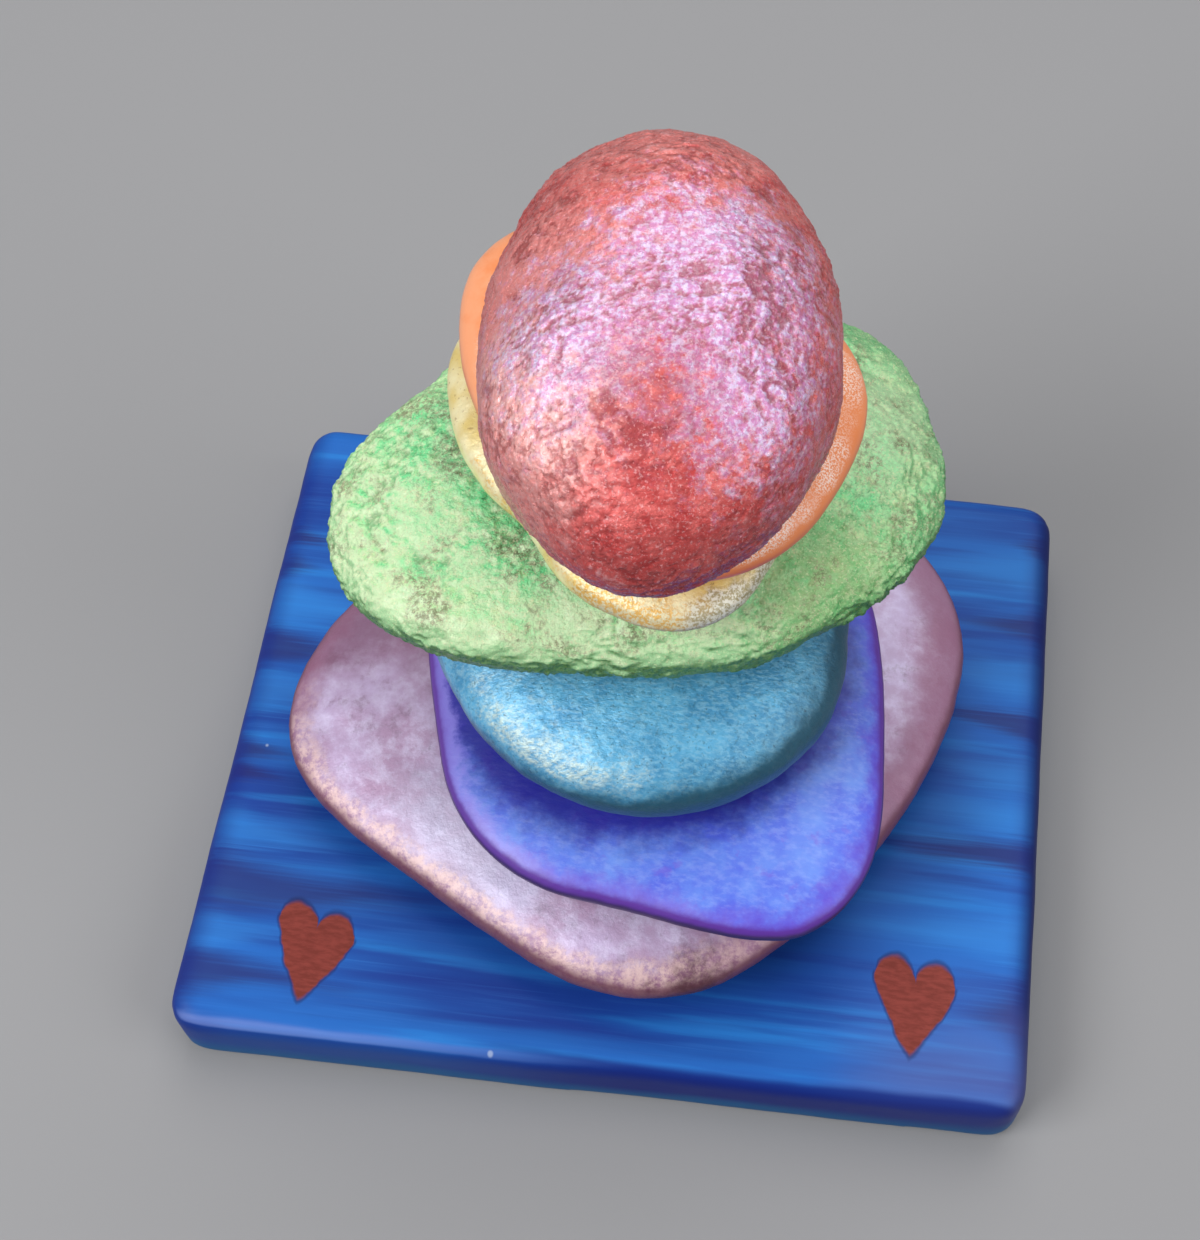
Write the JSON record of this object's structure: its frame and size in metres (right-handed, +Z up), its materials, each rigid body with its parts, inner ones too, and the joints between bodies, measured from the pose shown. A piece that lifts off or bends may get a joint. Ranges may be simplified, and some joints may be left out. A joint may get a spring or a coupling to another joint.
{
  "type": "stone cairn",
  "caption": "Stone cairn of painted pebbles in rainbow order, balanced on a small blue board with a heart painted at each front corner.",
  "frame": {"origin": "middle of the board's underside", "axes": "+Z up through the stack, +X to the right and -Y towards the edge with the painted hearts"},
  "size_m": [0.1508, 0.128, 0.1598],
  "materials": {
    "cobalt_paint": "satin paint, brushed along the board",
    "pink_paint": "pearly paint on smooth stone",
    "violet_paint": "satin paint on smooth stone",
    "blue_paint": "pearly paint on fine grained stone",
    "green_paint": "pearly paint on rough stone",
    "yellow_paint": "pearly gold paint on smooth stone",
    "orange_paint": "satin paint on smooth stone",
    "red_paint": "pearly paint on pitted stone"
  },
  "bodies": {
    "root": {"base_board": "cobalt_paint", "pink_stone": "pink_paint", "violet_stone": "violet_paint", "blue_stone": "blue_paint", "green_stone": "green_paint", "yellow_stone": "yellow_paint", "orange_stone": "orange_paint", "red_stone": "red_paint"}
  },
  "joints": []
}
